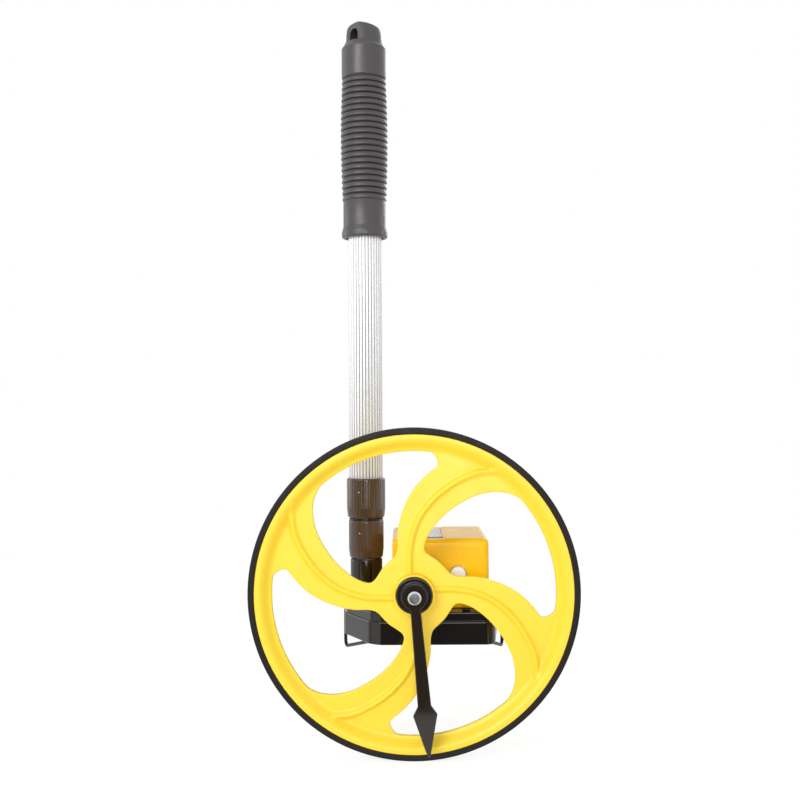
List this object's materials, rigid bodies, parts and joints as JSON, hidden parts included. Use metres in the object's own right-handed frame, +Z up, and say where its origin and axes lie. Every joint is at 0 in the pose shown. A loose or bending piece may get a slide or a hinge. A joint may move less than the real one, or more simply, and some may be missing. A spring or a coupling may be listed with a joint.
{
  "type": "measuring wheel",
  "caption": "Walking measuring wheel: a spoked wheel drives a geared distance counter on a base with a fold-out wire stand and a telescopic pole with a ribbed grip.",
  "frame": {"origin": "on the ground under the wheel's axle, at the middle of the axle's length", "axes": "+X in the rolling direction, +Y along the axle from the wheel to the counter, +Z up the pole"},
  "size_m": [0.2118, 0.129, 0.4925],
  "materials": {
    "tyre_rubber": "satin",
    "yellow_abs": "satin",
    "orange_abs": "satin",
    "black_abs": "gloss",
    "black_nylon": "satin",
    "white_acetal": "satin",
    "grip_rubber": "satin",
    "brown_abs": "gloss",
    "aluminium": "bright drawn",
    "steel": "brushed",
    "black_steel": "satin",
    "clear_acrylic": "gloss"
  },
  "bodies": {
    "root": {"axle": "steel", "retaining_ring": "steel", "pointer_washer": "steel", "axle_washer": "steel", "axle_nut": "steel", "base_tray": "black_abs", "base_plate": "black_abs", "plate_screw_left": "steel", "plate_screw_right": "steel", "ledge_screw_left": "steel", "ledge_screw_right": "steel", "socket_screw": "steel", "counter_housing": "orange_abs", "counter_window": "clear_acrylic", "front_bracket": "steel", "rear_bracket": "steel", "pinion_shaft": "steel", "reset_spring": "steel", "inner_tube": "aluminium", "lower_guide": "black_nylon"},
    "wheel": {"tyre": "tyre_rubber", "wheel": "yellow_abs", "hub_bush": "black_nylon", "drive_gear": "black_nylon"},
    "pointer": {"pointer": "black_abs"},
    "drum_1": {"drum_gear": "black_nylon", "drum_shaft": "steel", "number_wheel_1": "white_acetal"},
    "drum_2": {"number_wheel_2": "white_acetal"},
    "drum_3": {"number_wheel_3": "white_acetal"},
    "drum_4": {"number_wheel_4": "white_acetal"},
    "drum_5": {"number_wheel_5": "white_acetal"},
    "pinion_1": {"carry_pinion_1": "black_nylon"},
    "pinion_2": {"carry_pinion_2": "black_nylon"},
    "pinion_3": {"carry_pinion_3": "black_nylon"},
    "pinion_4": {"carry_pinion_4": "black_nylon"},
    "reset": {"reset_button": "white_acetal", "reset_yoke": "steel"},
    "stand": {"stand_wire": "black_steel", "stand_clip_left": "black_steel", "stand_clip_right": "black_steel"},
    "lower_collar": {"lower_collar": "brown_abs"},
    "middle_tube": {"middle_tube": "aluminium", "upper_guide": "black_nylon", "lower_collet": "white_acetal"},
    "upper_collar": {"upper_collar": "brown_abs"},
    "outer_tube": {"outer_tube": "aluminium", "upper_collet": "white_acetal", "grip": "grip_rubber"}
  },
  "joints": [
    {"name": "wheel_spin", "type": "hinge", "parent": "root", "child": "wheel", "pos_m": [0, -0.04445, 0.10587], "axis": [0, 1, 0], "continuous": true},
    {"name": "pointer_swing", "type": "hinge", "parent": "root", "child": "pointer", "pos_m": [0, -0.05945, 0.10587], "axis": [0, 1, 0], "continuous": true},
    {"name": "drum_1_spin", "type": "hinge", "parent": "root", "child": "drum_1", "pos_m": [0.01125, 0.00055, 0.12087], "axis": [0, 1, 0], "continuous": true},
    {"name": "drum_2_spin", "type": "hinge", "parent": "root", "child": "drum_2", "pos_m": [0.01125, 0.01115, 0.12087], "axis": [0, 1, 0], "continuous": true},
    {"name": "drum_3_spin", "type": "hinge", "parent": "root", "child": "drum_3", "pos_m": [0.01125, 0.02175, 0.12087], "axis": [0, 1, 0], "continuous": true},
    {"name": "drum_4_spin", "type": "hinge", "parent": "root", "child": "drum_4", "pos_m": [0.01125, 0.03235, 0.12087], "axis": [0, 1, 0], "continuous": true},
    {"name": "drum_5_spin", "type": "hinge", "parent": "root", "child": "drum_5", "pos_m": [0.01125, 0.04295, 0.12087], "axis": [0, 1, 0], "continuous": true},
    {"name": "pinion_1_spin", "type": "hinge", "parent": "root", "child": "pinion_1", "pos_m": [0.02215, 0.00655, 0.11324], "axis": [0, 1, 0], "continuous": true},
    {"name": "pinion_2_spin", "type": "hinge", "parent": "root", "child": "pinion_2", "pos_m": [0.02215, 0.01715, 0.11324], "axis": [0, 1, 0], "continuous": true},
    {"name": "pinion_3_spin", "type": "hinge", "parent": "root", "child": "pinion_3", "pos_m": [0.02215, 0.02775, 0.11324], "axis": [0, 1, 0], "continuous": true},
    {"name": "pinion_4_spin", "type": "hinge", "parent": "root", "child": "pinion_4", "pos_m": [0.02215, 0.03835, 0.11324], "axis": [0, 1, 0], "continuous": true},
    {"name": "reset_press", "type": "slide", "parent": "root", "child": "reset", "axis": [0, 1, 0], "range_m": [0, 0.002], "stiffness_N_per_m": 300, "springref_m": -0.002, "deforming": ["reset_spring"]},
    {"name": "stand_fold", "type": "hinge", "parent": "root", "child": "stand", "pos_m": [0, 0.04855, 0.079], "axis": [1, 0, 0], "range_deg": [0, 90]},
    {"name": "middle_slide", "type": "slide", "parent": "root", "child": "middle_tube", "axis": [0, 0, 1], "range_m": [0, 0.26]},
    {"name": "outer_slide", "type": "slide", "parent": "middle_tube", "child": "outer_tube", "axis": [0, 0, 1], "range_m": [0, 0.26]},
    {"name": "lower_collar_twist", "type": "hinge", "parent": "middle_tube", "child": "lower_collar", "pos_m": [-0.0323, 0.01455, 0.1333], "axis": [0, 0, 1], "range_deg": [0, 120]},
    {"name": "upper_collar_twist", "type": "hinge", "parent": "outer_tube", "child": "upper_collar", "pos_m": [-0.0323, 0.01455, 0.16155], "axis": [0, 0, 1], "range_deg": [0, 120]}
  ],
  "couplings": [
    {"joint": "drum_1_spin", "follows": "wheel_spin", "ratio": -0.66667},
    {"joint": "drum_2_spin", "follows": "wheel_spin", "ratio": -0.066667},
    {"joint": "drum_3_spin", "follows": "wheel_spin", "ratio": -0.0066667},
    {"joint": "drum_4_spin", "follows": "wheel_spin", "ratio": -0.00066667},
    {"joint": "drum_5_spin", "follows": "wheel_spin", "ratio": -0.000066667},
    {"joint": "pinion_1_spin", "follows": "wheel_spin", "ratio": 0.16667},
    {"joint": "pinion_2_spin", "follows": "wheel_spin", "ratio": 0.016667},
    {"joint": "pinion_3_spin", "follows": "wheel_spin", "ratio": 0.0016667},
    {"joint": "pinion_4_spin", "follows": "wheel_spin", "ratio": 0.00016667}
  ]
}
